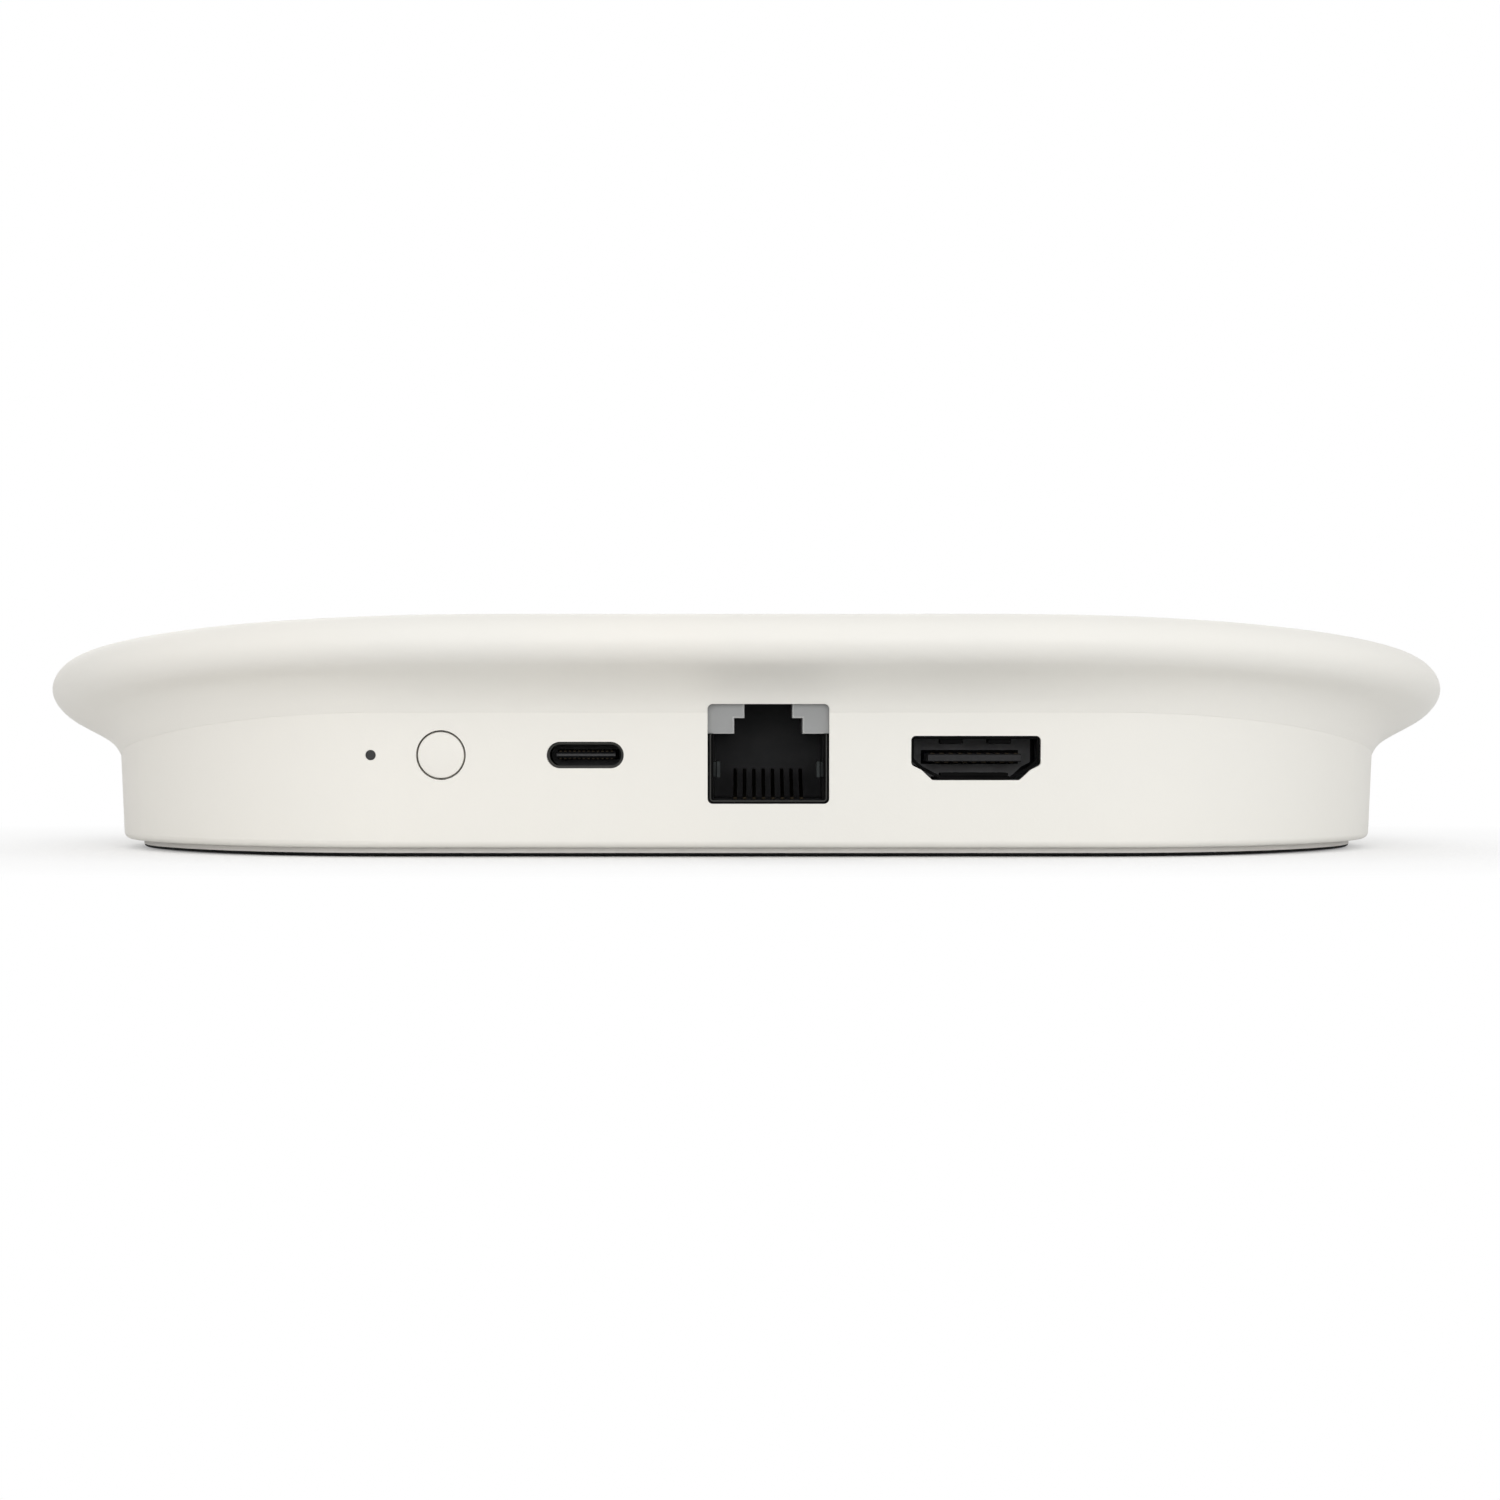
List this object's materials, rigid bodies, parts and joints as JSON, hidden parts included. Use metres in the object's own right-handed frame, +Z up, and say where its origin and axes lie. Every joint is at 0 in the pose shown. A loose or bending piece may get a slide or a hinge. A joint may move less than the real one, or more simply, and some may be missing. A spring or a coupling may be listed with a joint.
{
  "type": "media streaming device",
  "caption": "Flat oval streaming box: a tilted disc over a smaller oval base, with a push button, status light, USB-C, network and HDMI sockets in the base wall.",
  "frame": {"origin": "middle of the object on the surface that it stands on", "axes": "+X along the long side, to the right as the ports are seen; -Y the port side, +Y the low front; +Z up"},
  "size_m": [0.162, 0.0761, 0.0257],
  "materials": {
    "shell": "fine matte moulded plastic, warm white",
    "foot": "matte silicone, pale warm grey",
    "light_pipe": "smoked clear plastic",
    "window": "milky clear plastic",
    "socket_plastic": "black moulded socket plastic",
    "socket_metal": "nickel-plated sheet, dull",
    "contact_gold": "gold-plated contact springs",
    "screw_steel": "blackened steel",
    "board": "green solder mask on glass-fibre board",
    "chip": "black moulded chip packages",
    "inductor": "pressed iron powder",
    "ceramic": "fired ceramic with tinned ends",
    "crystal": "drawn metal can",
    "led": "clear lens over a light source",
    "thermal_pad": "soft filled silicone",
    "spreader": "cast, as blasted",
    "ballast": "zinc-plated sheet",
    "insulator": "black polyester film",
    "plunger": "red moulded plastic"
  },
  "bodies": {
    "housing": {"top_cover": "shell", "base_housing": "shell", "foot_pad": "foot", "status_light_pipe": "light_pipe", "ethernet_light_windows": "window", "usb_tongue": "socket_plastic", "hdmi_tongue": "socket_plastic", "ethernet_housing": "socket_plastic", "usb_riser": "socket_plastic", "switch_body": "socket_plastic", "usb_shell": "socket_metal", "hdmi_shell": "socket_metal", "ethernet_shield": "socket_metal", "shield_frame": "socket_metal", "shield_lid": "socket_metal", "wireless_shield": "socket_metal", "left_antenna": "socket_metal", "right_antenna": "socket_metal", "front_antenna": "socket_metal", "switch_dome": "socket_metal", "usb_contacts": "contact_gold", "hdmi_contacts": "contact_gold", "ethernet_contacts": "contact_gold", "housing_screws": "screw_steel", "board_screws": "screw_steel", "main_board": "board", "processor": "chip", "memory_chips": "chip", "storage_chip": "chip", "wireless_chip": "chip", "ethernet_chip": "chip", "power_chip": "chip", "ethernet_transformer": "chip", "power_inductors": "inductor", "board_capacitors": "ceramic", "clock_crystal": "crystal", "status_led": "led", "ethernet_leds": "led", "thermal_pads": "thermal_pad", "heat_spreader": "spreader", "ballast_plate": "ballast", "insulator_sheet": "insulator"},
    "button": {"button_cap": "shell", "switch_plunger": "plunger"}
  },
  "joints": [
    {"name": "button_press", "type": "slide", "parent": "housing", "child": "button", "axis": [0, 1, 0], "range_m": [0, 0.00025], "stiffness_N_per_m": 4000, "deforming": ["switch_dome"]}
  ]
}
